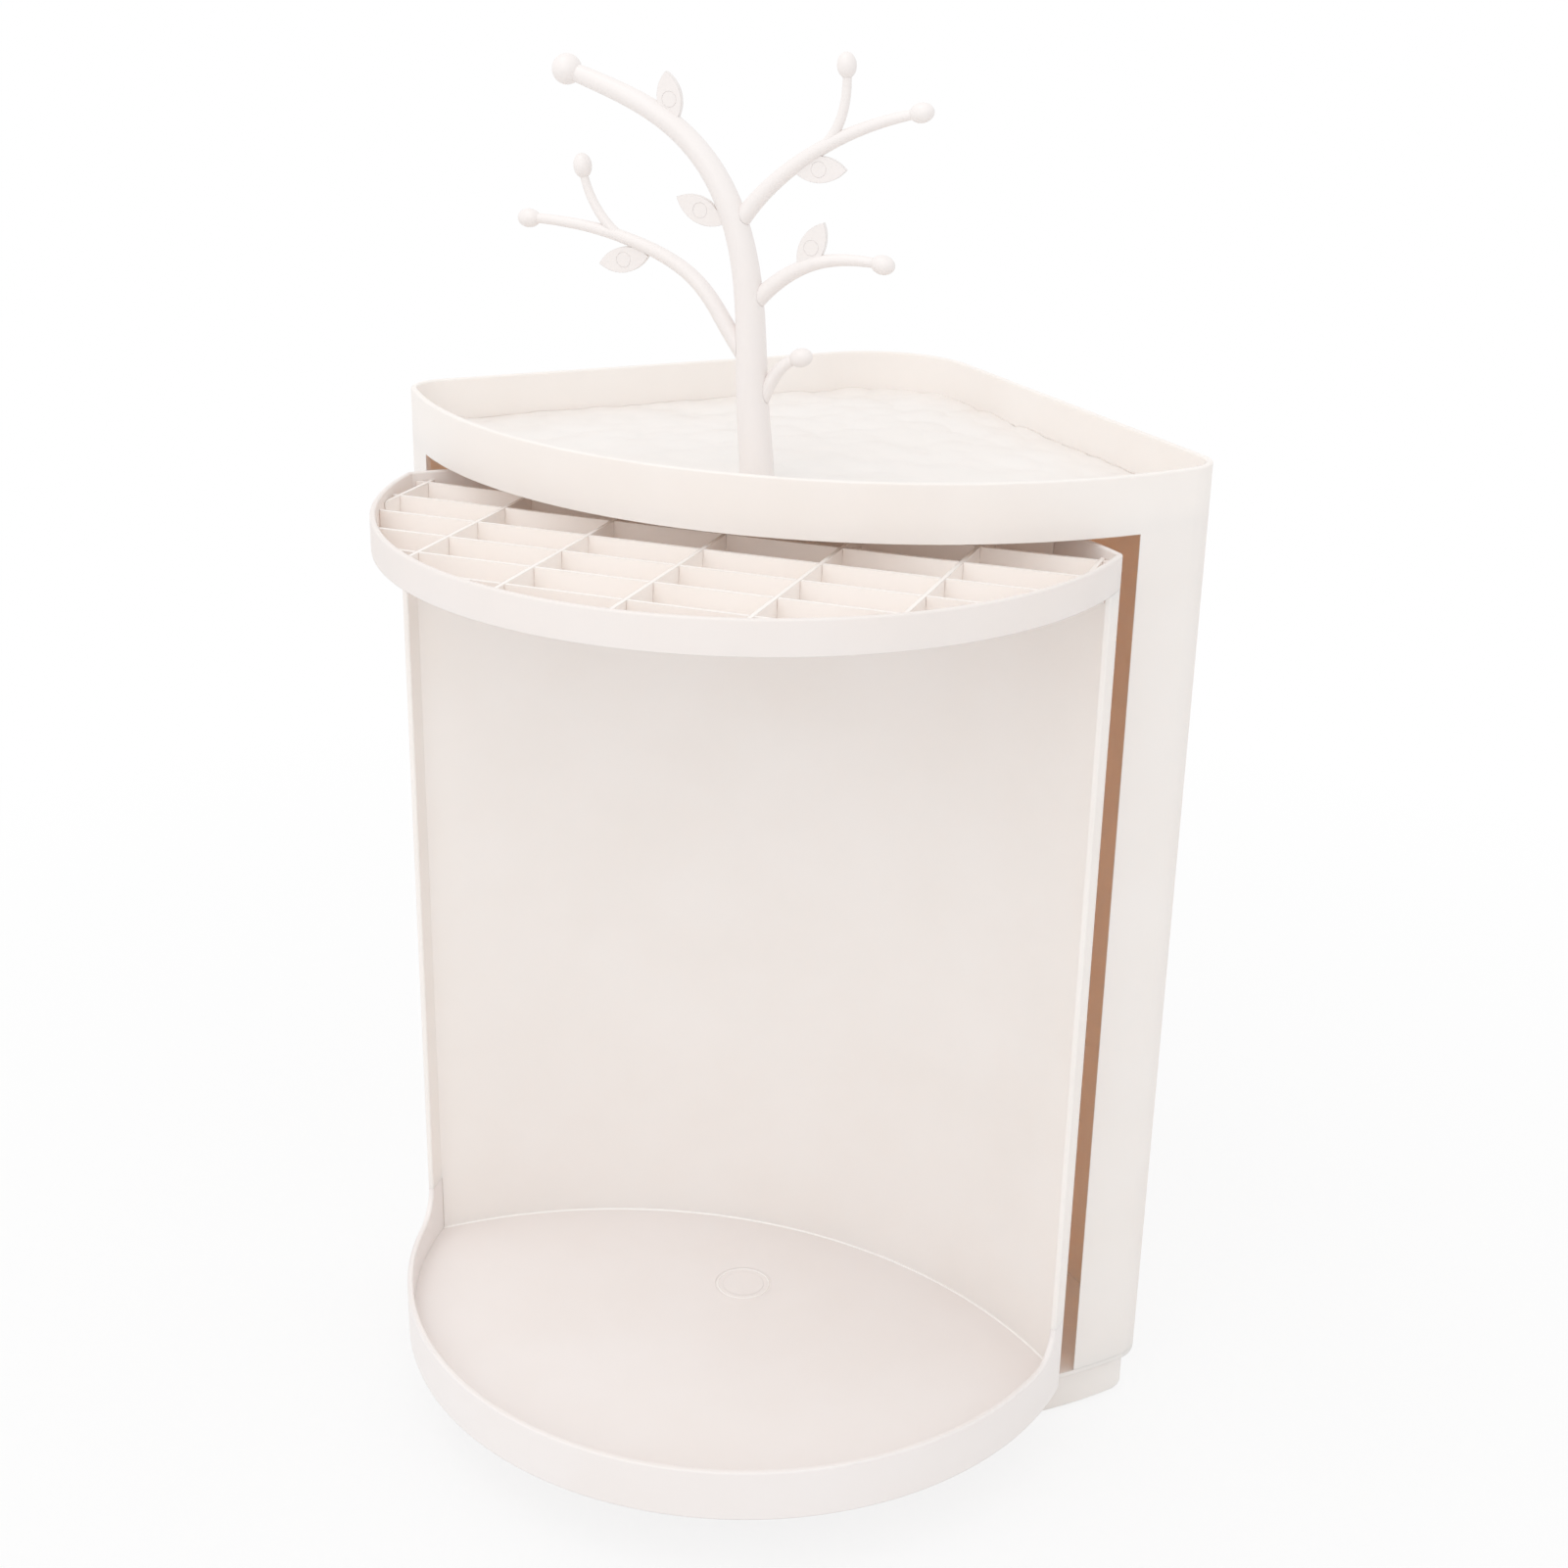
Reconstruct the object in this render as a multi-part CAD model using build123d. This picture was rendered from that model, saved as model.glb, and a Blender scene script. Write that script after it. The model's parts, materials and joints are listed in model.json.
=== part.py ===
from build123d import *
import math
import os

# Rotating corner storage cabinet: a fixed corner shell and a carousel that turns out of its front.
# Millimetres, +Z up, front towards -Y. The pieces are drawn with the turning axis on x = 0, y = 0.

# Plan of the carousel and the shell
carousel_radius = 130.0
wall_clearance = 1.4
wall = 2.2
front_arc_radius = 183.5
front_reach = 47.0
jamb_clearance = 1.5
apex_fillet = 40.0
corner_fillet = 15.0
door_inset = 1.0
tip_fillet = 2.5

# Heights, from the ground up
foot_stand = 1.0
plinth_height = 16.5
plate_thickness = 2.0
skirt_clearance = 3.8
floor_rise = 7.1
floor_thickness = 2.4
base_rim_height = 19.4
ear_fillet = 11.3
flange_depth = 9.5
compartment_height = 302.6
tray_height = 11.6
tray_floor = 1.8
tray_wall = 2.0
tray_headroom = 2.4
band_height = 20.0
deck_depth = 16.6
deck_thickness = 2.4

# Small shared sizes
edge_round = 0.7
rim_round_share = 0.4
overrun = 5.0
seat_clearance = 0.1
running_clearance = 0.05

# Base pan
plinth_inset = 3.9
post_wall = 3.5
post_gap = 1.5
washer_room = 3.9
rib_thickness = 1.6
rib_height = 10.0
pad_diameter = 14.0
pad_thickness = 2.0
pad_boss_wall = 1.5
pad_side_shares = [(0.0, 0.95), (0.88, 0.23), (-0.88, 0.23), (0.40, -0.15), (-0.40, -0.15)]

# Screws through the pan into the shell's corner bosses
boss_diameter = 8.0
boss_height = 24.0
screw_head_room = 1.0
screw_diameter = 2.9
screw_length = 16.0
screw_head_diameter = 6.0
screw_head_height = 2.2

# Pivot under the turntable
pivot_sleeve_wall = 3.0
pivot_sleeve_gap = 1.0
pillar_diameter = 8.0
pillar_clearance = 0.5
pivot_end_play = 0.3
pivot_screw_diameter = 3.4
pivot_screw_length = 11.0
pivot_screw_head_diameter = 7.0
pivot_screw_head_height = 2.4
washer_diameter = 15.0
washer_thickness = 1.5
pivot_mark_width = 3.0
pivot_mark_depth = 0.12

# Ball ring between two grooved races
race_setback = 3.8
race_width = 12.0
race_thickness = 2.0
groove_depth = 0.6
ball_clearance = 0.08
ball_count = 12
cage_setback = 1.0
cage_thickness_share = 0.36
cage_hole_clearance = 0.15
locating_rib = 1.6
locating_rib_height = 1.6

# Panel, tray and divider strips
panel_rebate = 1.4
tray_rib_height = 3.0
tray_rib_thickness = 1.4
divider_thickness = 1.4
divider_drop = 3.2
column_pitch = 40.8
row_pitch = 20.3
row_offset = 7.5
strip_margin = 5.0
strip_clearance = 0.2

# Upper pivot and the tree's socket
deck_boss_wall = 2.0
deck_boss_gap = 0.5
collar_wall = 1.0
spigot_diameter = 7.0
socket_floor = 3.0

# Jewellery tree, drawn flat in the plane through the axis
tree_rise = 143.5
tree_spread = 138.0
trunk_foot_diameter = 12.2
trunk_end_diameter = 5.8
branch_root_diameter = 6.2
branch_end_diameter = 3.1
fork_root_diameter = 3.5
fork_end_diameter = 2.8
limb_ball_diameter = 10.0
bulb_diameter = 6.3
bulb_length = 8.2
leaf_width = 8.4
leaf_thickness = 2.0
limb_stations = 9
peg_diameter = 2.6
peg_length = 13.0
trunk_shares = [(0.0, 0.0), (-0.013, 0.24), (-0.03, 0.49), (-0.11, 0.71), (-0.28, 0.855), (-0.497, 0.933)]
left_shares = [(-0.02, 0.29), (-0.075, 0.37), (-0.165, 0.48), (-0.30, 0.548), (-0.45, 0.583), (-0.605, 0.592)]
left_fork_shares = [(-0.36, 0.563), (-0.415, 0.615), (-0.443, 0.662), (-0.459, 0.72)]
upper_shares = [(-0.062, 0.60), (-0.02, 0.655), (0.07, 0.738), (0.206, 0.819), (0.39, 0.878)]
upper_fork_shares = [(0.155, 0.795), (0.19, 0.842), (0.205, 0.89), (0.207, 0.97)]
lower_shares = [(-0.025, 0.42), (0.034, 0.478), (0.141, 0.537), (0.23, 0.55), (0.31, 0.545)]
twig_shares = [(-0.012, 0.175), (0.03, 0.249), (0.065, 0.295), (0.112, 0.32)]
trunk_leaf_shares = [((-0.09, 0.61), (-0.21, 0.665)), ((-0.222, 0.82), (-0.239, 0.939))]
left_leaf_shares = [((-0.285, 0.525), (-0.414, 0.50))]
upper_leaf_shares = [((0.08, 0.743), (0.214, 0.746))]
lower_leaf_shares = [((0.105, 0.515), (0.162, 0.629))]

# Levels and places that follow from the sizes
plinth_bottom = foot_stand
plate_bottom = plinth_bottom + plinth_height
plate_top = plate_bottom + plate_thickness
base_bottom = plate_top + skirt_clearance
floor_top = base_bottom + floor_rise
floor_bottom = floor_top - floor_thickness
rim_top = base_bottom + base_rim_height
ear_top = rim_top + ear_fillet
panel_foot = floor_top - panel_rebate
tray_bottom = floor_top + compartment_height
tray_floor_top = tray_bottom + tray_floor
tray_top = tray_bottom + tray_height
divider_top = tray_top - divider_drop
band_bottom = tray_top + tray_headroom
shell_top = band_bottom + band_height
deck_top = shell_top - deck_depth
deck_bottom = deck_top - deck_thickness
front_centre_y = front_arc_radius - front_reach
opening_half_width = carousel_radius + jamb_clearance
wall_reach = carousel_radius + wall_clearance + wall
apex_y = wall_reach * math.sqrt(2) - apex_fillet * (math.sqrt(2) - 1)
door_radius = front_arc_radius - door_inset
tip_y = (door_radius**2 - carousel_radius**2 - front_centre_y**2) / (2 * front_centre_y)
flange_end_y = tip_y - flange_depth
axis_y = (carousel_radius - apex_y) / 2
boss_inset = plinth_inset + wall + screw_head_room + screw_head_diameter / 2
post_bore = pillar_diameter + 2 * pillar_clearance
post_diameter = post_bore + 2 * post_wall
post_top = floor_bottom - post_gap
pivot_sleeve_radius = post_diameter / 2 + pivot_sleeve_wall
hub_radius = washer_diameter / 2 + washer_room + rib_thickness
ball_level = (plate_top + floor_bottom) / 2
race_radius = front_reach - door_inset - wall - race_setback - race_width / 2
race_gap = floor_bottom - plate_top - 2 * race_thickness
ball_radius = race_gap / 2 + groove_depth - ball_clearance
cage_width = race_width - 2 * cage_setback
cage_thickness = cage_thickness_share * race_gap
deck_boss_diameter = spigot_diameter + 2 * deck_boss_wall
deck_boss_bottom = tray_floor_top + deck_boss_gap
spigot_length = deck_top - deck_boss_bottom - socket_floor - seat_clearance
tray_reach = carousel_radius - tray_wall - strip_margin
tray_back = door_radius - tray_wall - front_centre_y - strip_margin
columns_each_side = int(tray_reach / column_pitch)
rows_in_front = int((tray_reach - row_offset) / row_pitch)
rows_behind = int((tray_back + row_offset) / row_pitch)


def column(radius, bottom, top, at=(0, 0)):
    """Upright cylinder between two levels."""
    return extrude(Pos(at[0], at[1], bottom) * Circle(radius), amount=top - bottom)


def prism(plan, bottom, top):
    """Upright solid of a plan between two levels."""
    return extrude(Pos(0, 0, bottom) * plan, amount=top - bottom)


def ring(inner, outer, bottom, top):
    """Flat round ring between two levels."""
    return column(outer, bottom, top) - column(inner, bottom - overrun, top + overrun)


def rim_round(thickness):
    """Rounding of a thin wall's top edges."""
    return min(edge_round, rim_round_share * thickness)


def side_corner(inset):
    """Right front corner of the shell's plan, drawn in by inset, before it is rounded."""
    apex = (wall_reach - inset) * math.sqrt(2)
    radius = front_arc_radius - inset
    lift = apex - front_centre_y
    x = (lift + math.sqrt(2 * radius**2 - lift**2)) / 2
    return (x, apex - x)


def corner_plan(inset):
    """Plan of the corner shell: two walls at a right angle and a bowed front, drawn in by inset."""
    apex = (wall_reach - inset) * math.sqrt(2)
    x, y = side_corner(inset)
    front = (0, front_centre_y - front_arc_radius + inset)
    outline = Line((0, apex), (x, y)) + ThreePointArc((x, y), front, (-x, y)) + Line((-x, y), (0, apex))
    face = make_face(outline)
    corners = face.vertices().sort_by(Axis.Y)
    face = fillet(corners[-1], max(apex_fillet - inset, edge_round))
    sides = face.vertices().sort_by(Axis.X)
    return fillet([sides[0], sides[-1]], max(corner_fillet - inset, edge_round))


def lens_plan(inset):
    """Plan of the carousel: its turning circle met by the closed door's arc, drawn in by inset."""
    door = Pos(0, -front_centre_y) * Circle(door_radius - inset)
    lens = Rot(0, 0, 90) * Circle(carousel_radius - inset) & door
    return fillet(lens.vertices(), max(tip_fillet - inset, edge_round))


def behind(y):
    """Large plan area behind a line across the cabinet."""
    side = 2 * (carousel_radius + apex_y)
    return Pos(0, y + side / 2) * Rectangle(side, side)


def corner_bosses():
    """Places of the three screw bosses: both front corners and the back corner."""
    rounding = max(corner_fillet - boss_inset, 0)
    centre = Vector(*side_corner(boss_inset + rounding))
    side = centre + (Vector(*side_corner(0)) - centre).normalized() * rounding
    back = (wall_reach - boss_inset) * math.sqrt(2) - (apex_fillet - boss_inset) * (math.sqrt(2) - 1)
    return [(side.X, side.Y), (-side.X, side.Y), (0, back)]


def corner_shell():
    """Walls, jambs, front band and recessed deck in one moulding."""
    shell = prism(corner_plan(0), plate_top, shell_top)
    shell -= prism(corner_plan(wall), deck_top, shell_top + overrun)
    shell = fillet(shell.faces().sort_by(Axis.Z)[-1].edges(), rim_round(wall))
    inside = prism(corner_plan(wall), plate_top - overrun, deck_bottom)
    shell -= inside
    jamb_y = front_centre_y - math.sqrt((front_arc_radius - wall) ** 2 - opening_half_width**2)
    depth = front_reach + jamb_y + 2 * overrun
    opening = Pos(0, jamb_y + overrun - depth / 2) * Rectangle(2 * opening_half_width, depth)
    shell -= prism(opening, plate_top - overrun, band_bottom)
    for x, y in corner_bosses():
        angle = math.degrees(math.atan2(y, x))
        boss = column(boss_diameter / 2, plate_top, plate_top + boss_height, (x, y))
        web = Box(2 * boss_inset, rib_thickness, boss_height)
        boss += Pos(x, y, plate_top + boss_height / 2) * Rot(0, 0, angle) * Pos(boss_inset) * web
        shell += boss & prism(corner_plan(wall / 2), plate_top, shell_top)
        pilot = screw_diameter / 2 + running_clearance
        shell -= column(pilot, plate_top - overrun, plate_bottom + screw_length + seat_clearance, (x, y))
    shell += column(deck_boss_diameter / 2, deck_boss_bottom, deck_top)
    socket = spigot_diameter / 2 + running_clearance
    shell -= column(socket, deck_top - spigot_length - seat_clearance, deck_top + overrun)
    return shell


def base_pan():
    """Floor plate under the shell with an inset plinth skirt, ribs, pad bosses and the pivot post."""
    pan = prism(corner_plan(0), plate_bottom, plate_top)
    skirt = corner_plan(plinth_inset) - corner_plan(plinth_inset + wall)
    pan += prism(skirt, plinth_bottom, plate_bottom)
    pan += column(hub_radius, plate_bottom - rib_height, plate_bottom)
    pad_boss = pad_diameter / 2 + pad_boss_wall
    for x_share, y_share in pad_side_shares:
        x = x_share * carousel_radius
        y = y_share * carousel_radius
        reach = math.hypot(x, y)
        angle = math.degrees(math.atan2(y, x))
        rib = Pos(reach / 2, 0, plate_bottom - rib_height / 2) * Box(reach, rib_thickness, rib_height)
        pan += Rot(0, 0, angle) * rib
        pan += column(pad_boss, plinth_bottom, plate_bottom, (x, y))
        recess = plinth_bottom + pad_thickness - foot_stand
        pan -= column(pad_diameter / 2 + seat_clearance, plinth_bottom - overrun, recess, (x, y))
    pan -= column(hub_radius - rib_thickness, plate_bottom - rib_height - overrun, plate_bottom)
    pan += column(post_diameter / 2, plate_top, post_top)
    pan -= column(post_bore / 2, plate_bottom - overrun, post_top + overrun)
    rib_outer = race_radius - race_width / 2 - seat_clearance
    pan += ring(rib_outer - locating_rib, rib_outer, plate_top, plate_top + locating_rib_height)
    for place in corner_bosses():
        pan -= column(screw_diameter / 2 + seat_clearance, plate_bottom - overrun, plate_top + overrun, place)
    return pan


def screw(at, seat, length, diameter, head_diameter, head_height):
    """Pan-head screw driven upwards, its head under the seat level."""
    body = column(diameter / 2, seat, seat + length, at)
    return body + column(head_diameter / 2, seat - head_height, seat, at)


def base_screws():
    """The three screws that hold the pan to the shell."""
    head = (screw_head_diameter, screw_head_height)
    return [screw(at, plate_bottom, screw_length, screw_diameter, *head) for at in corner_bosses()]


def foot_pads():
    """Non-slip pads let into the pan's feet."""
    places = [(x * carousel_radius, y * carousel_radius) for x, y in pad_side_shares]
    return [column(pad_diameter / 2, 0, pad_thickness, at) for at in places]


def race(bottom):
    """Flat bearing ring with a round groove for the balls."""
    blank = ring(race_radius - race_width / 2, race_radius + race_width / 2, bottom, bottom + race_thickness)
    return blank - Pos(0, 0, ball_level) * Torus(race_radius, ball_radius + ball_clearance)


def ball_places():
    """Ball centres evenly round the race."""
    return PolarLocations(race_radius, ball_count)


def ball_cage():
    """Thin ring that keeps the balls apart."""
    cage = ring(
        race_radius - cage_width / 2,
        race_radius + cage_width / 2,
        ball_level - cage_thickness / 2,
        ball_level + cage_thickness / 2,
    )
    for place in ball_places():
        spot = place.position
        hole = ball_radius + cage_hole_clearance
        cage -= column(hole, ball_level - cage_thickness, ball_level + cage_thickness, (spot.X, spot.Y))
    return cage


def bearing_balls():
    """The loose balls."""
    return [Pos(0, 0, ball_level) * place * Sphere(ball_radius) for place in ball_places()]


def front_rim():
    """Low rim round the front of the turntable, sweeping up at both ends to meet the panel's flanges."""
    plan = lens_plan(0) - Circle(carousel_radius - wall)
    rim = prism(plan, floor_top, rim_top)
    fillet_centre_y = flange_end_y - ear_fillet
    ears = prism(plan & behind(fillet_centre_y), rim_top, ear_top)
    hollow = Cylinder(ear_fillet, 2 * (carousel_radius + overrun), rotation=(0, 90, 0))
    rim += ears - Pos(0, fillet_centre_y, ear_top) * hollow
    upper = rim.edges().filter_by_position(Axis.Z, rim_top, ear_top, (True, False))
    long_edges = [edge for edge in upper if edge.length > ear_fillet and edge not in upper.filter_by(Axis.Z)]
    return fillet(long_edges, rim_round(wall))


def turntable_base():
    """Turntable floor with skirt, front rim, raised rim ends and the pivot sleeve."""
    base = prism(lens_plan(0), base_bottom, floor_top)
    base -= prism(lens_plan(wall), base_bottom - overrun, floor_bottom)
    base += front_rim()
    seat = lens_plan(0) - Pos(0, -front_centre_y) * Circle(door_radius - wall - seat_clearance)
    base -= prism(seat & Circle(carousel_radius - wall), panel_foot, ear_top)
    bore = post_diameter / 2 + running_clearance
    base += ring(bore, pivot_sleeve_radius, plate_top + pivot_sleeve_gap, floor_bottom)
    pillar_end = plate_bottom - pivot_end_play
    base += column(pillar_diameter / 2, pillar_end, floor_bottom)
    pilot = pivot_screw_diameter / 2 + running_clearance
    base -= column(pilot, pillar_end - overrun, pillar_end - washer_thickness + pivot_screw_length)
    mark = floor_top - pivot_mark_depth
    base -= ring(pivot_sleeve_radius - pivot_mark_width, pivot_sleeve_radius, mark, floor_top + overrun)
    rib_outer = race_radius - race_width / 2 - seat_clearance
    base += ring(rib_outer - locating_rib, rib_outer, floor_bottom - locating_rib_height, floor_bottom)
    return base


def back_panel():
    """Curved panel with straight end flanges; it closes the front when the carousel is turned round."""
    band = lens_plan(0) - lens_plan(wall)
    panel = prism(band & behind(flange_end_y), ear_top, tray_bottom)
    flange_edges = panel.edges().filter_by(Axis.Z).group_by(Axis.Y)[0]
    panel = fillet(flange_edges, rim_round(wall))
    sheet = lens_plan(0) - Pos(0, -front_centre_y) * Circle(door_radius - wall)
    panel += prism(sheet & Circle(carousel_radius - wall - seat_clearance), panel_foot, ear_top)
    return panel


def jewellery_tray():
    """Shallow tray on top of the panel, with a collar round the upper pivot and a locating rib below."""
    tray = prism(lens_plan(0), tray_bottom, tray_top)
    tray -= prism(lens_plan(tray_wall), tray_floor_top, tray_top + overrun)
    tray = fillet(tray.faces().sort_by(Axis.Z)[-1].edges(), rim_round(tray_wall))
    bore = deck_boss_diameter / 2 + running_clearance
    tray += ring(bore, bore + collar_wall, tray_floor_top, divider_top)
    rib_inset = wall + seat_clearance
    rib = lens_plan(rib_inset) - lens_plan(rib_inset + tray_rib_thickness)
    tray += prism(rib & behind(flange_end_y), tray_bottom - tray_rib_height, tray_bottom)
    return tray


def row_places():
    """Distances of the row strips from the axis, front row first."""
    return [row_pitch * step - row_offset for step in range(-rows_in_front, rows_behind + 1)]


def column_places():
    """Distances of the column strips from the axis, left first."""
    return [column_pitch * step for step in range(-columns_each_side, columns_each_side + 1)]


def trimmed_strip(strip):
    """Strip cut to the inside of the tray and clear of the pivot collar."""
    strip &= prism(lens_plan(tray_wall + strip_clearance), tray_floor_top, divider_top)
    collar = deck_boss_diameter / 2 + running_clearance + collar_wall + strip_clearance
    return strip - column(collar, tray_floor_top - overrun, tray_top)


def divider_strips():
    """Rows slotted from above and columns slotted from below, halved into one another."""
    height = divider_top - tray_floor_top
    middle = (divider_top + tray_floor_top) / 2
    slot = divider_thickness + 2 * seat_clearance
    strips = {}
    for number, y in enumerate(row_places(), start=1):
        row = Pos(0, y, middle) * Box(2 * carousel_radius, divider_thickness, height)
        for x in column_places():
            row -= Pos(x, y, middle + height / 2) * Box(slot, slot, height)
        strips[f"divider_row_{number}"] = trimmed_strip(row)
    for number, x in enumerate(column_places(), start=1):
        strip = Pos(x, 0, middle) * Box(divider_thickness, 2 * carousel_radius, height)
        for y in row_places():
            strip -= Pos(x, y, middle - height / 2) * Box(slot, slot, height)
        strips[f"divider_column_{number}"] = trimmed_strip(strip)
    return strips


def pivot_washer():
    """Washer that holds the pillar down in the post."""
    top = plate_bottom - pivot_end_play
    hole = pivot_screw_diameter / 2 + seat_clearance
    return ring(hole, washer_diameter / 2, top - washer_thickness, top)


def pivot_screw():
    """Screw up into the turntable's pillar."""
    seat = plate_bottom - pivot_end_play - washer_thickness
    length = pivot_screw_length - seat_clearance
    head = (pivot_screw_head_diameter, pivot_screw_head_height)
    return screw((0, 0), seat, length, pivot_screw_diameter, *head)


def tree_point(shares):
    """Point in the tree's plane from shares of its spread and rise."""
    return Vector(tree_spread * shares[0], 0, deck_top + tree_rise * shares[1])


def limb_path(shares):
    """Smooth centreline through a limb's points."""
    return Spline(*[tree_point(share) for share in shares])


def trunk_path():
    """Centreline of the trunk, rising square from the deck."""
    points = [tree_point(share) for share in trunk_shares]
    return Spline(*points, tangents=[(0, 0, 1), points[-1] - points[-2]])


def limb(path, root_diameter, end_diameter, stations):
    """Round limb that tapers from root to end."""
    sections = []
    for station in range(stations):
        along = station / (stations - 1)
        radius = (root_diameter + (end_diameter - root_diameter) * along) / 2
        plane = Plane(path @ along, x_dir=(0, 1, 0), z_dir=path % along)
        sections.append(plane * Circle(radius))
    return loft(sections)


def bulb(shares):
    """Egg-shaped tip at a branch's last point, lying along the branch."""
    half = Ellipse(bulb_length / 2, bulb_diameter / 2) & Pos(0, bulb_length / 2) * Rectangle(bulb_length, bulb_length)
    place = Plane(tree_point(shares[-1]), x_dir=limb_path(shares) % 1, z_dir=(0, 1, 0))
    return place * revolve(half, Axis.X)


def leaf(root_shares, end_shares):
    """Flat pointed leaf between two points."""
    root = tree_point(root_shares)
    end = tree_point(end_shares)
    side = (end - root).normalized().cross(Vector(0, 1, 0)) * (leaf_width / 2)
    middle = (root + end) / 2
    outline = ThreePointArc(root, middle + side, end) + ThreePointArc(end, middle - side, root)
    return extrude(make_face(outline), amount=leaf_thickness / 2, dir=(0, 1, 0), both=True)


def plain_trunk():
    """Trunk and main limb with its ball and leaves, without sockets."""
    trunk = limb(trunk_path(), trunk_foot_diameter, trunk_end_diameter, limb_stations)
    trunk += Pos(tree_point(trunk_shares[-1])) * Sphere(limb_ball_diameter / 2)
    for root, end in trunk_leaf_shares:
        trunk += leaf(root, end)
    return trunk


def peg(shares, diameter):
    """Root peg of a branch, along the first stretch of its path."""
    path = limb_path(shares)
    plane = Plane(path @ 0, x_dir=(0, 1, 0), z_dir=path % 0)
    return extrude(plane * Circle(diameter / 2), amount=peg_length)


def branch(trunk, shares, fork_shares=None, leaves=()):
    """Side branch with its ball, fork and leaves, shaped to the trunk and pegged into it."""
    stem = limb(limb_path(shares), branch_root_diameter, branch_end_diameter, limb_stations)
    body = stem + bulb(shares)
    if fork_shares:
        body += limb(limb_path(fork_shares), fork_root_diameter, fork_end_diameter, limb_stations)
        body += bulb(fork_shares)
    for root, end in leaves:
        body += leaf(root, end)
    return body - trunk + (peg(shares, peg_diameter) & stem)


def tree():
    """Trunk and its four plug-in branches."""
    trunk = plain_trunk()
    pieces = {
        "branch_left": branch(trunk, left_shares, left_fork_shares, left_leaf_shares),
        "branch_upper_right": branch(trunk, upper_shares, upper_fork_shares, upper_leaf_shares),
        "branch_lower_right": branch(trunk, lower_shares, None, lower_leaf_shares),
        "branch_twig": branch(trunk, twig_shares),
    }
    for shares in (left_shares, upper_shares, lower_shares, twig_shares):
        trunk -= peg(shares, peg_diameter + 2 * running_clearance)
    trunk += column(spigot_diameter / 2, deck_top - spigot_length, deck_top)
    pieces["tree_trunk"] = trunk
    return pieces


nodes = {
    "corner_shell": corner_shell(),
    "base_pan": base_pan(),
    "base_screws": Compound(base_screws()),
    "foot_pads": Compound(foot_pads()),
    "lower_race": race(plate_top),
    "ball_cage": ball_cage(),
    "bearing_balls": Compound(bearing_balls()),
    "upper_race": race(floor_bottom - race_thickness),
    "turntable_base": turntable_base(),
    "pivot_washer": pivot_washer(),
    "pivot_screw": pivot_screw(),
    "back_panel": back_panel(),
    "jewellery_tray": jewellery_tray(),
}
nodes.update(divider_strips())
nodes.update(tree())

os.makedirs("parts", exist_ok=True)
for name, shape in nodes.items():
    export_step(Pos(0, axis_y, 0) * shape, f"parts/{name}.step")
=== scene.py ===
import json
import math
import bmesh
import bpy
from mathutils import Matrix, Vector, noise


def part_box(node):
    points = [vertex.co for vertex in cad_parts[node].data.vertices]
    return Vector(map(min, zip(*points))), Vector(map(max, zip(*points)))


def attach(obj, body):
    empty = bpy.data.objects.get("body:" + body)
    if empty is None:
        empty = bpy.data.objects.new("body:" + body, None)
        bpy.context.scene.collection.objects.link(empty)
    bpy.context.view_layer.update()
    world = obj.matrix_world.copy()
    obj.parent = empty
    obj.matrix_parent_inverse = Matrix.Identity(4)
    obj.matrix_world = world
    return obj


# Rotating corner storage cabinet: looks, stage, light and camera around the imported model.
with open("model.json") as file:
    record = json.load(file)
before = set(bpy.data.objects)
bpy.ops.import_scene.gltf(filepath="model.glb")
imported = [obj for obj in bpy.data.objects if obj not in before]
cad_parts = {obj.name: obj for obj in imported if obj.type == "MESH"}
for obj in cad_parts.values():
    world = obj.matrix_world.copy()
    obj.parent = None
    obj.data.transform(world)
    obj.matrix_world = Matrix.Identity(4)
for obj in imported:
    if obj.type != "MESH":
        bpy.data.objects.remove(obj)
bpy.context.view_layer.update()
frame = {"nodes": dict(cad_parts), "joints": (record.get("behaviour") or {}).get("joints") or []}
pivot = Vector(frame["joints"][0]["pos_m"])
MM = 0.001
ROOT_2 = math.sqrt(2)
X_AXIS = Vector((1.0, 0.0, 0.0))
Y_AXIS = Vector((0.0, 1.0, 0.0))
Z_AXIS = Vector((0.0, 0.0, 1.0))

# Sizes of the solids that the added pieces stand on
WALL = 2.2 * MM
WALL_REACH = 133.6 * MM
APEX_FILLET = 40.0 * MM
CORNER_FILLET = 15.0 * MM
FRONT_RADIUS = 183.5 * MM
FRONT_CENTRE_Y = 136.5 * MM
DECK_DEPTH = 16.6 * MM
DECK_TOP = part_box("corner_shell")[1].z - DECK_DEPTH
CAROUSEL_RADIUS = 130.0 * MM
DOOR_INSET = 1.0 * MM
FLOOR_LEVEL = 30.4 * MM
TREE_RISE = 143.5 * MM
TREE_SPREAD = 138.0 * MM
LEAF_THICKNESS = 2.0 * MM
# Middle of each leaf: shares of the tree's spread to the right and of its rise above the deck
LEAF_MIDDLE_SHARES = [(-0.15, 0.638), (-0.23, 0.879), (-0.35, 0.513), (0.147, 0.745), (0.133, 0.572)]

# Sizes of the added details
HAMMER_CELL = 11.0 * MM
HAMMER_LOW = 0.25 * MM
HAMMER_RISE = 1.8 * MM
DECK_SINK = 0.05 * MM
DECK_ROWS = 110
DECK_COLUMNS = 140
WIRE_SIDES = 8
LEAF_MARK_RADIUS = 2.5 * MM
LEAF_MARK_WIRE = 0.1 * MM
LEAF_MARK_STEPS = 40
FOOT_LINE_WIRE = 0.5 * MM
FOOT_LINE_STEPS = 90
PIVOT_RING_RADIUS = 10.0 * MM
PIVOT_RING_WIRE = 0.2 * MM
PIVOT_RING_STEPS = 64

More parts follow.
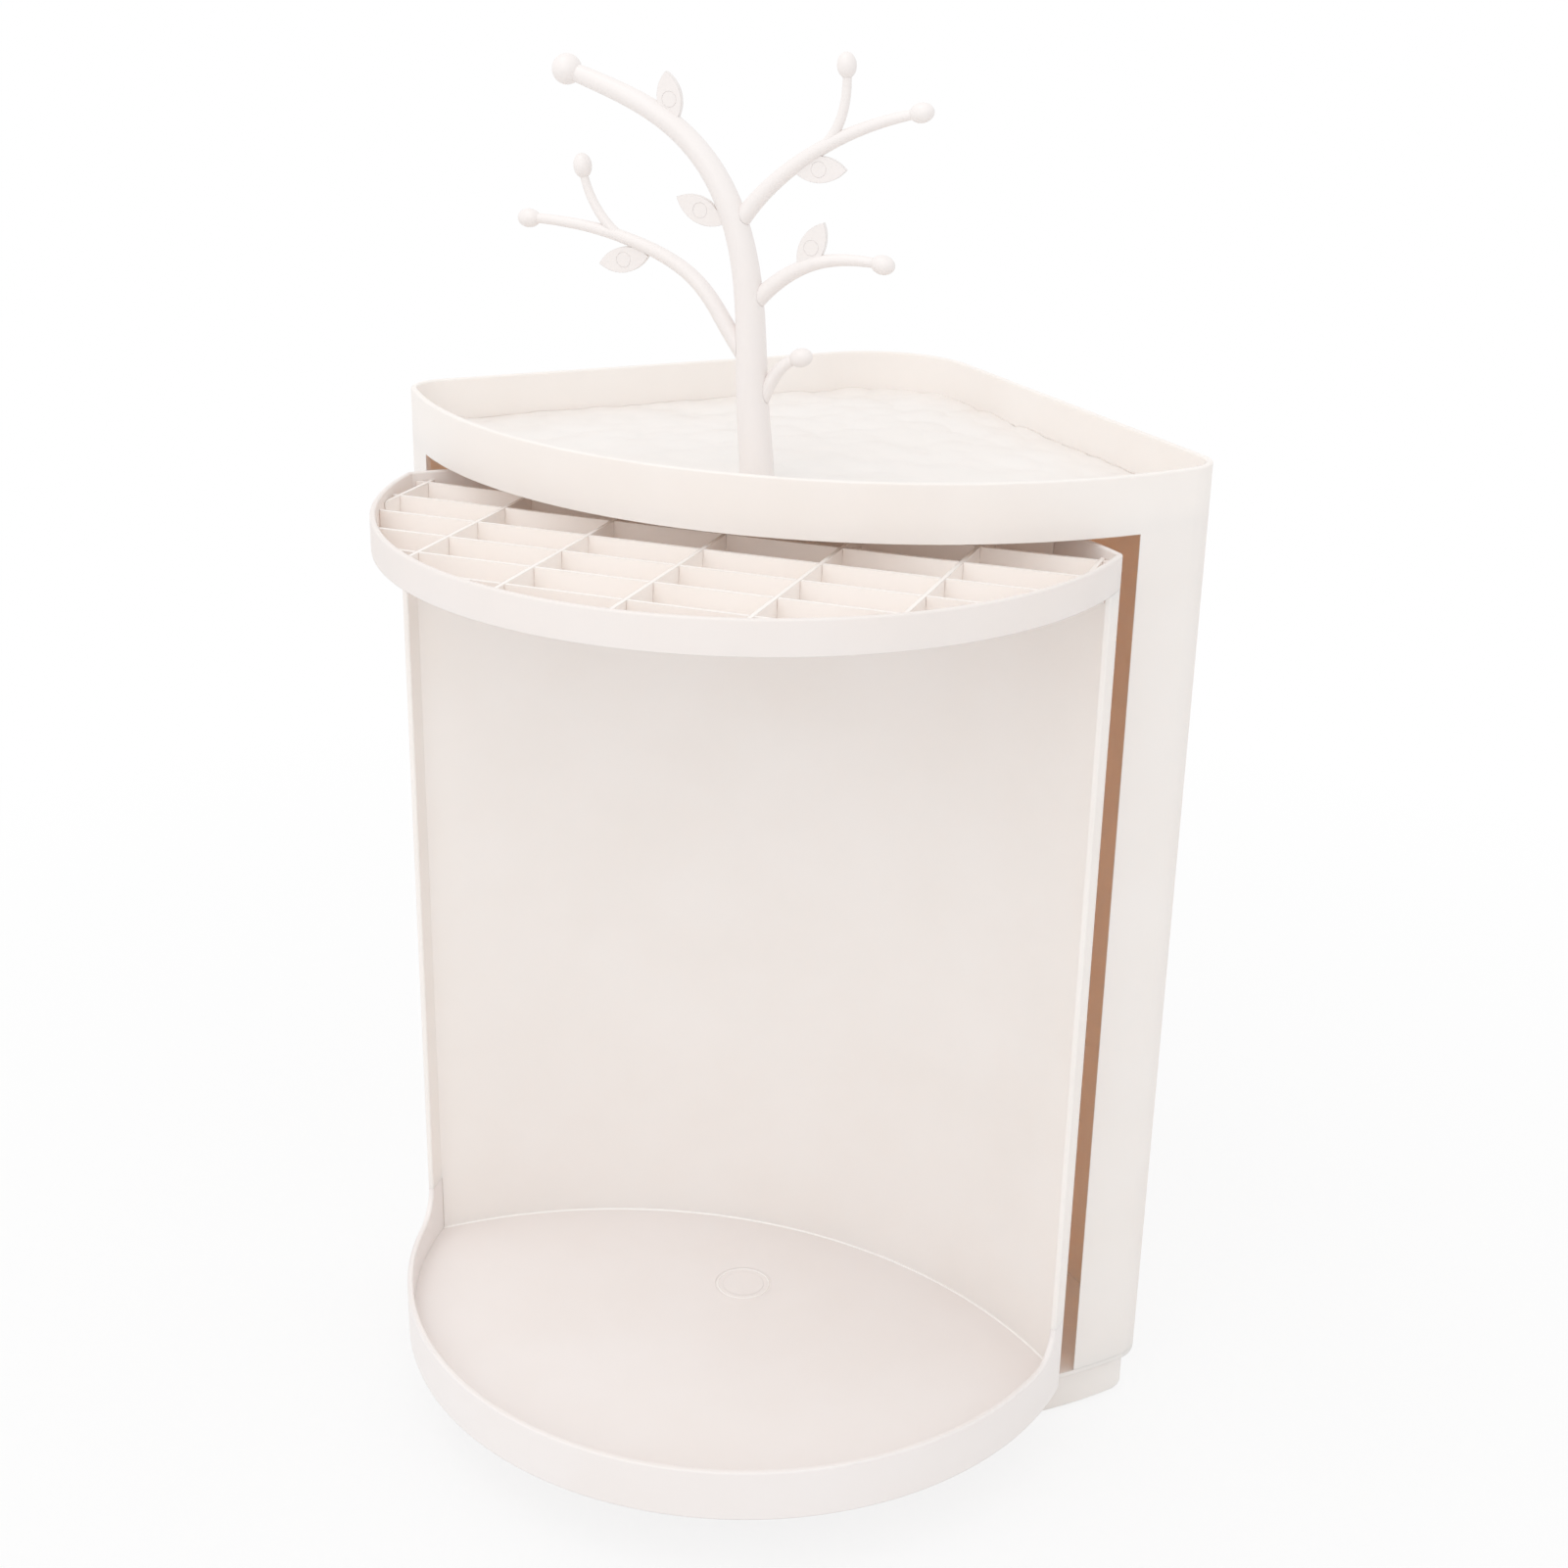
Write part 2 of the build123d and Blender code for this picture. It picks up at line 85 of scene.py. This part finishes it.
# Noise of the materials: scale per metre and detail
CLOUDS = (22.0, 3.0)
SHEEN = (60.0, 4.0)
ORANGE_PEEL = (900.0, 2.0)
STEEL_MARKS = (700.0, 4.0)
RUBBER_GRAIN = (1500.0, 2.0)
NOISE_LOW = 0.3
NOISE_HIGH = 0.7

# Finish of the materials
SATIN_ROUGHNESS = 0.42
SATIN_SPREAD = 0.04
SATIN_GRAIN = 0.06
PLASTIC_IOR = 1.48
WALL_EDGE = 0.45 * MM
THIN_EDGE = 0.3 * MM
BEAD_EDGE = 0.1 * MM
EDGE_SAMPLES = 4
BUMP_HEIGHT = 0.2 * MM
STEEL_ROUGHNESS = 0.3
STEEL_SPREAD = 0.08
RUBBER_ROUGHNESS = 0.85
RUBBER_BUMP = 0.2

# Light through the thin walls, with painted warm shade: the walls this far behind the axis and below the
# deck pass a warmer colour that browns the shaded cavity
THROUGH_SHARE = 0.15
PAINTED_SHADE_FROM = 30.0 * MM
PAINTED_SHADE_BLEND = 20.0 * MM


# Materials
def node(tree, kind, **values):
    """New shader node with some of its properties set."""
    made = tree.nodes.new(kind)
    for name, value in values.items():
        setattr(made, name, value)
    return made


def new_material(name):
    """New node material, with its tree and its Principled shader."""
    material = bpy.data.materials.new(name)
    material.use_nodes = True
    tree = material.node_tree
    return material, tree, tree.nodes["Principled BSDF"]


def linear(red, green, blue):
    """Linear colour from 0-255 display values, by the sRGB curve."""
    parts = []
    for value in (red, green, blue):
        share = value / 255
        parts.append(share / 12.92 if share <= 0.04045 else ((share + 0.055) / 1.055) ** 2.4)
    return (*parts, 1.0)


def noise_texture(tree, coords, scale, detail):
    """Noise that is fixed to the object."""
    texture = node(tree, "ShaderNodeTexNoise")
    texture.inputs["Scale"].default_value = scale
    texture.inputs["Detail"].default_value = detail
    tree.links.new(coords.outputs["Object"], texture.inputs["Vector"])
    return texture


def ranged(tree, texture, low, high):
    """Noise value brought into a range."""
    spread = node(tree, "ShaderNodeMapRange")
    spread.inputs["From Min"].default_value = NOISE_LOW
    spread.inputs["From Max"].default_value = NOISE_HIGH
    spread.inputs["To Min"].default_value = low
    spread.inputs["To Max"].default_value = high
    tree.links.new(texture.outputs["Fac"], spread.inputs["Value"])
    return spread.outputs["Result"]


def two_colours(tree, first, second, factor):
    """Colour that goes from one to another with a factor."""
    tint = node(tree, "ShaderNodeMix", data_type="RGBA")
    tint.inputs["A"].default_value = first
    tint.inputs["B"].default_value = second
    tree.links.new(factor, tint.inputs["Factor"])
    return tint.outputs["Result"]


def fine_bump(tree, shader, texture, strength):
    """Fine relief on a shader's surface."""
    bump = node(tree, "ShaderNodeBump")
    bump.inputs["Strength"].default_value = strength
    bump.inputs["Distance"].default_value = BUMP_HEIGHT
    tree.links.new(texture.outputs["Fac"], bump.inputs["Height"])
    tree.links.new(bump.outputs["Normal"], shader.inputs["Normal"])
    return bump


def mixed_surface(tree, output, first, second):
    """Two shaders mixed into an output; gives back the socket of the second one's share."""
    mix = node(tree, "ShaderNodeMixShader")
    tree.links.new(first, mix.inputs[1])
    tree.links.new(second, mix.inputs[2])
    tree.links.new(mix.outputs["Shader"], tree.nodes[output].inputs["Surface"])
    return mix.inputs["Fac"]


def moulded_plastic(name, light, deep, rough=SATIN_ROUGHNESS, grain=SATIN_GRAIN, edge=WALL_EDGE):
    """Satin moulded plastic: faint clouds, fine orange peel and softened edges."""
    material, tree, shader = new_material(name)
    coords = node(tree, "ShaderNodeTexCoord")
    clouds = noise_texture(tree, coords, *CLOUDS)
    colour = two_colours(tree, light, deep, ranged(tree, clouds, 0.0, 1.0))
    tree.links.new(colour, shader.inputs["Base Color"])
    sheen = noise_texture(tree, coords, *SHEEN)
    roughness = ranged(tree, sheen, rough - SATIN_SPREAD, rough + SATIN_SPREAD)
    tree.links.new(roughness, shader.inputs["Roughness"])
    bump = fine_bump(tree, shader, noise_texture(tree, coords, *ORANGE_PEEL), grain)
    edges = node(tree, "ShaderNodeBevel", samples=EDGE_SAMPLES)
    edges.inputs["Radius"].default_value = edge
    tree.links.new(edges.outputs["Normal"], bump.inputs["Normal"])
    shader.inputs["IOR"].default_value = PLASTIC_IOR
    return material


def let_light_through(material, colour):
    """Thin walls send a share of the light on to their other side; gives back its colour socket."""
    tree = material.node_tree
    through = node(tree, "ShaderNodeBsdfTranslucent")
    through.inputs["Color"].default_value = colour
    plastic = tree.nodes["Principled BSDF"].outputs["BSDF"]
    share = mixed_surface(tree, "Material Output", plastic, through.outputs["BSDF"])
    share.default_value = THROUGH_SHARE
    return through.inputs["Color"]


def paint_warm_shade_on_back_walls(material, through_colour, painted_shade_colour):
    """Painted warm shade: the large back walls below the deck pass a warmer colour, so the shaded cavity
    behind the carousel looks warm brown.
    """
    tree = material.node_tree
    coords = node(tree, "ShaderNodeTexCoord")
    place = node(tree, "ShaderNodeSeparateXYZ")
    tree.links.new(coords.outputs["Object"], place.inputs["Vector"])
    behind = node(tree, "ShaderNodeMapRange")
    behind.inputs["From Min"].default_value = pivot.y + PAINTED_SHADE_FROM
    behind.inputs["From Max"].default_value = pivot.y + PAINTED_SHADE_FROM + PAINTED_SHADE_BLEND
    tree.links.new(place.outputs["Y"], behind.inputs["Value"])
    below = node(tree, "ShaderNodeMath", operation="LESS_THAN")
    below.inputs[1].default_value = DECK_TOP
    tree.links.new(place.outputs["Z"], below.inputs[0])
    # Share of the painted warm shade: behind the axis and below the deck
    inside = node(tree, "ShaderNodeMath", operation="MULTIPLY")
    tree.links.new(behind.outputs["Result"], inside.inputs[0])
    tree.links.new(below.outputs["Value"], inside.inputs[1])
    front_colour = through_colour.default_value
    tint = two_colours(tree, front_colour, painted_shade_colour, inside.outputs["Value"])
    tree.links.new(tint, through_colour)


def turned_steel(name, colour):
    """Bright steel with fine marks."""
    material, tree, shader = new_material(name)
    coords = node(tree, "ShaderNodeTexCoord")
    marks = noise_texture(tree, coords, *STEEL_MARKS)
    roughness = ranged(tree, marks, STEEL_ROUGHNESS - STEEL_SPREAD, STEEL_ROUGHNESS + STEEL_SPREAD)
    tree.links.new(roughness, shader.inputs["Roughness"])
    shader.inputs["Base Color"].default_value = colour
    shader.inputs["Metallic"].default_value = 1.0
    return material


def soft_rubber(name, colour):
    """Matt rubber with a fine grain."""
    material, tree, shader = new_material(name)
    coords = node(tree, "ShaderNodeTexCoord")
    fine_bump(tree, shader, noise_texture(tree, coords, *RUBBER_GRAIN), RUBBER_BUMP)
    shader.inputs["Base Color"].default_value = colour
    shader.inputs["Roughness"].default_value = RUBBER_ROUGHNESS
    return material


IVORY = (linear(251, 249, 247), linear(249, 246, 243))
FRONT_GLOW = linear(255, 244, 234)
# Warm colour of the painted shade in the cavity behind the back walls
BACK_WALL_PAINTED_SHADE = linear(255, 210, 150)
ivory = moulded_plastic("ivory_plastic", *IVORY)
let_light_through(ivory, FRONT_GLOW)
shell_ivory = moulded_plastic("ivory_shell", *IVORY)
# The shell's back walls below the deck carry the painted warm shade
paint_warm_shade_on_back_walls(shell_ivory, let_light_through(shell_ivory, FRONT_GLOW), BACK_WALL_PAINTED_SHADE)
# Darker copy of the ivory: painted shade that tones down the tray, whose rim catches the most front light
shaded_tray_ivory = moulded_plastic("ivory_tray_painted_shade", linear(245, 241, 239), linear(243, 238, 235))
let_light_through(shaded_tray_ivory, FRONT_GLOW)
# Lighter copy of the ivory for the dividers: painted light standing in for light that passes through the
# thin strips into the cells
lit_strip_ivory = moulded_plastic("ivory_strip_painted_light", linear(249, 244, 240), linear(247, 241, 236), edge=THIN_EDGE)
base_ivory = moulded_plastic("ivory_base", linear(242, 237, 235), linear(240, 234, 231))
tree_ivory = moulded_plastic(
    "ivory_tree", linear(240, 235, 233), linear(238, 232, 229), rough=0.36, grain=0.03, edge=THIN_EDGE
)
# Lighter, glossier copy of the ivory for the thin beads: a painted highlight
painted_highlight_ivory = moulded_plastic(
    "ivory_painted_highlight", linear(254, 252, 250), linear(252, 249, 246), rough=0.18, grain=0.02, edge=BEAD_EDGE
)
cage = moulded_plastic(
    "cage_plastic", linear(236, 234, 230), linear(230, 228, 224), rough=0.5, edge=THIN_EDGE
)
steel = turned_steel("bright_steel", (0.62, 0.62, 0.63, 1.0))
rubber = soft_rubber("pad_rubber", linear(58, 58, 60))

STEEL_NODES = ("base_screws", "pivot_washer", "pivot_screw", "lower_race", "upper_race", "bearing_balls")
looks = dict.fromkeys(STEEL_NODES, steel)
looks["corner_shell"] = shell_ivory
looks["turntable_base"] = base_ivory
looks["jewellery_tray"] = shaded_tray_ivory
looks["ball_cage"] = cage
looks["foot_pads"] = rubber
for name, item in frame["nodes"].items():
    look = looks.get(name, ivory)
    if name.startswith("divider"):
        look = lit_strip_ivory
    elif name.startswith(("tree", "branch")):
        look = tree_ivory
    item.data.materials.clear()
    item.data.materials.append(look)


# Added pieces
def finish_piece(name, work, material, body):
    """Turn a bmesh into a smooth piece that stays with a body."""
    bmesh.ops.recalc_face_normals(work, faces=work.faces)
    mesh = bpy.data.meshes.new(name)
    work.to_mesh(mesh)
    work.free()
    mesh.shade_smooth()
    mesh.materials.append(material)
    piece = bpy.data.objects.new(name, mesh)
    bpy.context.scene.collection.objects.link(piece)
    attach(piece, body)


def half_chord(radius, offset):
    """Half width of a circle at an offset from its middle."""
    return math.sqrt(max(radius**2 - offset**2, 0.0))


def deck_half_width(y):
    """Half width of the deck's plan at a distance behind the axis, inside the shell's wall."""
    front = FRONT_RADIUS - WALL
    apex = (WALL_REACH - WALL) * ROOT_2
    corner = CORNER_FILLET - WALL
    tip = APEX_FILLET - WALL
    lift = apex - corner * ROOT_2 - FRONT_CENTRE_Y
    corner_x = (lift + math.sqrt(2 * (front - corner) ** 2 - lift**2)) / 2
    corner_y = lift + FRONT_CENTRE_Y - corner_x
    tip_y = apex - tip * ROOT_2
    if y <= FRONT_CENTRE_Y + (corner_y - FRONT_CENTRE_Y) * front / (front - corner):
        return half_chord(front, FRONT_CENTRE_Y - y)
    if y <= corner_y + corner / ROOT_2:
        return corner_x + half_chord(corner, y - corner_y)
    if y <= tip_y + tip / ROOT_2:
        return apex - y
    return half_chord(tip, y - tip_y)


def hammered(x, y):
    """Height of the hammered floor above the deck: shallow rounded facets."""
    near = noise.voronoi(Vector((x, y, 0.0)) / HAMMER_CELL)[0][0]
    return HAMMER_LOW + HAMMER_RISE * max(1.0 - near**2, 0.0)


def deck_floor():
    """Closed thin sheet with a hammered top that fills the deck between its walls."""
    front = FRONT_CENTRE_Y - FRONT_RADIUS + WALL
    back = (WALL_REACH - WALL) * ROOT_2 - (APEX_FILLET - WALL) * (ROOT_2 - 1)
    work = bmesh.new()
    tops = []
    bottoms = []
    for row in range(DECK_ROWS + 1):
        # Rows lie closer together at the front and at the back, where the width changes fastest
        turn = math.pi * row / DECK_ROWS
        y = front + (back - front) * (0.5 - 0.5 * math.cos(turn))
        half = max(deck_half_width(y), WALL)
        top_row = []
        bottom_row = []
        for column in range(DECK_COLUMNS + 1):
            x = half * (2 * column / DECK_COLUMNS - 1)
            place = (pivot.x + x, pivot.y + y)
            top_row.append(work.verts.new((*place, DECK_TOP + hammered(x, y))))
            bottom_row.append(work.verts.new((*place, DECK_TOP - DECK_SINK)))
        tops.append(top_row)
        bottoms.append(bottom_row)
    for row in range(DECK_ROWS):
        for column in range(DECK_COLUMNS):
            corners = [(row, column), (row, column + 1), (row + 1, column + 1), (row + 1, column)]
            work.faces.new([tops[r][c] for r, c in corners])
            work.faces.new([bottoms[r][c] for r, c in reversed(corners)])
    edge = [(0, c) for c in range(DECK_COLUMNS)]
    edge += [(r, DECK_COLUMNS) for r in range(DECK_ROWS)]
    edge += [(DECK_ROWS, c) for c in range(DECK_COLUMNS, 0, -1)]
    edge += [(r, 0) for r in range(DECK_ROWS, 0, -1)]
    for (r, c), (r2, c2) in zip(edge, edge[1:] + edge[:1]):
        work.faces.new([bottoms[r][c], bottoms[r2][c2], tops[r2][c2], tops[r][c]])
    finish_piece("deck_hammered_floor", work, ivory, "cabinet")


def tube(path, wire, closed):
    """Round wire along a path, whose points give a place and the two directions of the section."""
    work = bmesh.new()
    rings = []
    for place, out, over in path:
        ring = []
        for corner in range(WIRE_SIDES):
            roll = 2 * math.pi * corner / WIRE_SIDES
            ring.append(work.verts.new(place + (out * math.cos(roll) + over * math.sin(roll)) * wire))
        rings.append(ring)
    pairs = list(zip(rings, rings[1:]))
    if closed:
        pairs.append((rings[-1], rings[0]))
    else:
        work.faces.new(rings[0])
        work.faces.new(rings[-1][::-1])
    for this, after in pairs:
        for corner in range(WIRE_SIDES):
            following = (corner + 1) % WIRE_SIDES
            work.faces.new([this[corner], this[following], after[following], after[corner]])
    return work


def circle_path(middle, radius, steps, second, over):
    """Path of a circle in the plane of the X axis and a second axis."""
    path = []
    for step in range(steps):
        turn = 2 * math.pi * step / steps
        out = X_AXIS * math.cos(turn) + second * math.sin(turn)
        path.append((middle + out * radius, out, over))
    return path


def leaf_marks():
    """Faint moulding ring on both faces of each leaf."""
    for number, (across, rise) in enumerate(LEAF_MIDDLE_SHARES, start=1):
        for face, side in (("front", -1), ("back", 1)):
            middle = Vector((pivot.x, pivot.y, DECK_TOP))
            middle += Vector((across * TREE_SPREAD, side * LEAF_THICKNESS / 2, rise * TREE_RISE))
            path = circle_path(middle, LEAF_MARK_RADIUS, LEAF_MARK_STEPS, Z_AXIS, Y_AXIS)
            work = tube(path, LEAF_MARK_WIRE, True)
            finish_piece(f"leaf_mark_{number}_{face}", work, tree_ivory, "cabinet")


def foot_line():
    """Thin rounded bead where the panel's curved foot meets the turntable floor, whose lighter colour is a
    painted highlight along the foot.
    """
    radius = FRONT_RADIUS - DOOR_INSET - WALL
    inner = CAROUSEL_RADIUS - WALL
    reach = math.acos((radius**2 + FRONT_CENTRE_Y**2 - inner**2) / (2 * radius * FRONT_CENTRE_Y))
    centre = Vector((pivot.x, pivot.y - FRONT_CENTRE_Y, FLOOR_LEVEL))
    path = []
    for step in range(FOOT_LINE_STEPS + 1):
        turn = reach * (2 * step / FOOT_LINE_STEPS - 1)
        out = Vector((math.sin(turn), math.cos(turn), 0.0))
        path.append((centre + out * radius, out, Z_AXIS))
    finish_piece("panel_foot_line", tube(path, FOOT_LINE_WIRE, False), painted_highlight_ivory, "carousel")


def pivot_ring():
    """Faint moulding ring on the turntable floor around the pivot, in the lighter ivory of the painted
    highlight.
    """
    middle = Vector((pivot.x, pivot.y, FLOOR_LEVEL))
    path = circle_path(middle, PIVOT_RING_RADIUS, PIVOT_RING_STEPS, Y_AXIS, Z_AXIS)
    finish_piece("pivot_ring", tube(path, PIVOT_RING_WIRE, True), painted_highlight_ivory, "carousel")


deck_floor()
leaf_marks()
foot_line()
pivot_ring()


# Stage
WHITE = (1.0, 1.0, 1.0, 1.0)
FLOOR_COLOUR = (0.84, 0.84, 0.84, 1.0)
FLOOR_ROUGHNESS = 0.9
FLOOR_HALF = 3.0
FLOOR_NEAR = 0.25
FLOOR_FAR = 0.75
FLOOR_WHITE_SHARE = 0.8
WORLD_LEVEL = 0.94
LAMP_AIM = Vector((0.0, 0.0, 0.22))
FRONT_LAMP = {"place": Vector((0.0, -1.7, 1.25)), "size": 1.6, "power": 5.0}
TOP_LAMP = {"place": Vector((-0.5, -0.6, 2.2)), "size": 1.2, "power": 5.0}
MAX_BOUNCES = 32
DIFFUSE_BOUNCES = 24


def plainly_seen(tree):
    """One for the rays that show a background: from the camera, a reflection or clear glass."""
    path = node(tree, "ShaderNodeLightPath")
    total = path.outputs["Is Camera Ray"]
    for kind in ("Is Glossy Ray", "Is Transmission Ray"):
        either = node(tree, "ShaderNodeMath", operation="MAXIMUM")
        tree.links.new(total, either.inputs[0])
        tree.links.new(path.outputs[kind], either.inputs[1])
        total = either.outputs["Value"]
    return total


def stage_floor():
    """Pale floor that keeps a soft shadow and goes to white away from the object."""
    mesh = bpy.data.meshes.new("floor")
    signs = [(-1, -1), (1, -1), (1, 1), (-1, 1)]
    mesh.from_pydata([(FLOOR_HALF * x, FLOOR_HALF * y, 0.0) for x, y in signs], [], [(0, 1, 2, 3)])
    floor = bpy.data.objects.new("floor", mesh)
    bpy.context.scene.collection.objects.link(floor)
    material, tree, shader = new_material("pale_floor")
    shader.inputs["Base Color"].default_value = FLOOR_COLOUR
    shader.inputs["Roughness"].default_value = FLOOR_ROUGHNESS
    shader.inputs["Specular IOR Level"].default_value = 0.0
    glow = node(tree, "ShaderNodeEmission")
    glow.inputs["Strength"].default_value = 1.0
    coords = node(tree, "ShaderNodeTexCoord")
    away = node(tree, "ShaderNodeVectorMath", operation="LENGTH")
    tree.links.new(coords.outputs["Object"], away.inputs[0])
    fade = node(tree, "ShaderNodeMapRange")
    fade.inputs["From Min"].default_value = FLOOR_NEAR
    fade.inputs["From Max"].default_value = FLOOR_FAR
    fade.inputs["To Min"].default_value = FLOOR_WHITE_SHARE
    tree.links.new(away.outputs["Value"], fade.inputs["Value"])
    share = node(tree, "ShaderNodeMath", operation="MULTIPLY")
    tree.links.new(plainly_seen(tree), share.inputs[0])
    tree.links.new(fade.outputs["Result"], share.inputs[1])
    glow_share = mixed_surface(tree, "Material Output", shader.outputs["BSDF"], glow.outputs["Emission"])
    tree.links.new(share.outputs["Value"], glow_share)
    # The glow is only there to be seen, so Cycles doesn't sample it as a lamp
    material.cycles.emission_sampling = "NONE"
    mesh.materials.append(material)


def studio_world():
    """Even studio light, seen as white."""
    world = bpy.data.worlds.new("studio")
    world.use_nodes = True
    tree = world.node_tree
    lit = tree.nodes["Background"]
    lit.inputs["Color"].default_value = WHITE
    lit.inputs["Strength"].default_value = WORLD_LEVEL
    seen = node(tree, "ShaderNodeBackground")
    seen.inputs["Color"].default_value = WHITE
    seen.inputs["Strength"].default_value = 1.0
    seen_share = mixed_surface(tree, "World Output", lit.outputs["Background"], seen.outputs["Background"])
    tree.links.new(plainly_seen(tree), seen_share)
    bpy.context.scene.world = world


def area_light(name, place, size, power):
    """Large soft lamp aimed at the middle of the object."""
    data = bpy.data.lights.new(name, "AREA")
    data.shape = "DISK"
    data.size = size
    data.energy = power
    lamp = bpy.data.objects.new(name, data)
    lamp.location = place
    lamp.rotation_euler = (LAMP_AIM - place).to_track_quat("-Z", "Y").to_euler()
    bpy.context.scene.collection.objects.link(lamp)


stage_floor()
studio_world()
area_light("front", **FRONT_LAMP)
area_light("top", **TOP_LAMP)

# More bounces than the default, so that light finds its way into the narrow gaps
bpy.context.scene.cycles.max_bounces = MAX_BOUNCES
bpy.context.scene.cycles.diffuse_bounces = DIFFUSE_BOUNCES

# Camera at the photograph's viewing angle
CAMERA_AZIMUTH = math.radians(19.872)
CAMERA_ELEVATION = math.radians(21.654)
CAMERA_ROLL = math.radians(1.215)
CAMERA_DISTANCE = 811.05 * MM
AIM_RIGHT = 11.88 * MM
AIM_HEIGHT = 242.10 * MM
PHOTO_WIDTH = 1601
FOCAL_PIXELS = 2307.46
SENSOR_WIDTH = 36.0


def photo_camera():
    """Camera placed as the photograph was taken."""
    back = Vector(
        (
            math.sin(CAMERA_AZIMUTH) * math.cos(CAMERA_ELEVATION),
            -math.cos(CAMERA_AZIMUTH) * math.cos(CAMERA_ELEVATION),
            math.sin(CAMERA_ELEVATION),
        )
    )
    level = Vector((math.cos(CAMERA_AZIMUTH), math.sin(CAMERA_AZIMUTH), 0.0))
    upright = back.cross(level)
    right = level * math.cos(CAMERA_ROLL) + upright * math.sin(CAMERA_ROLL)
    up = upright * math.cos(CAMERA_ROLL) - level * math.sin(CAMERA_ROLL)
    target = level * AIM_RIGHT + Vector((pivot.x, pivot.y, AIM_HEIGHT))
    place = target + back * CAMERA_DISTANCE
    data = bpy.data.cameras.new("photo_camera")
    data.sensor_fit = "HORIZONTAL"
    data.sensor_width = SENSOR_WIDTH
    data.lens = FOCAL_PIXELS * SENSOR_WIDTH / PHOTO_WIDTH
    camera = bpy.data.objects.new("photo_camera", data)
    camera.matrix_world = Matrix(
        (
            (right.x, up.x, back.x, place.x),
            (right.y, up.y, back.y, place.y),
            (right.z, up.z, back.z, place.z),
            (0.0, 0.0, 0.0, 1.0),
        )
    )
    bpy.context.scene.collection.objects.link(camera)
    bpy.context.scene.camera = camera


photo_camera()
bpy.context.scene.view_settings.view_transform = "Standard"
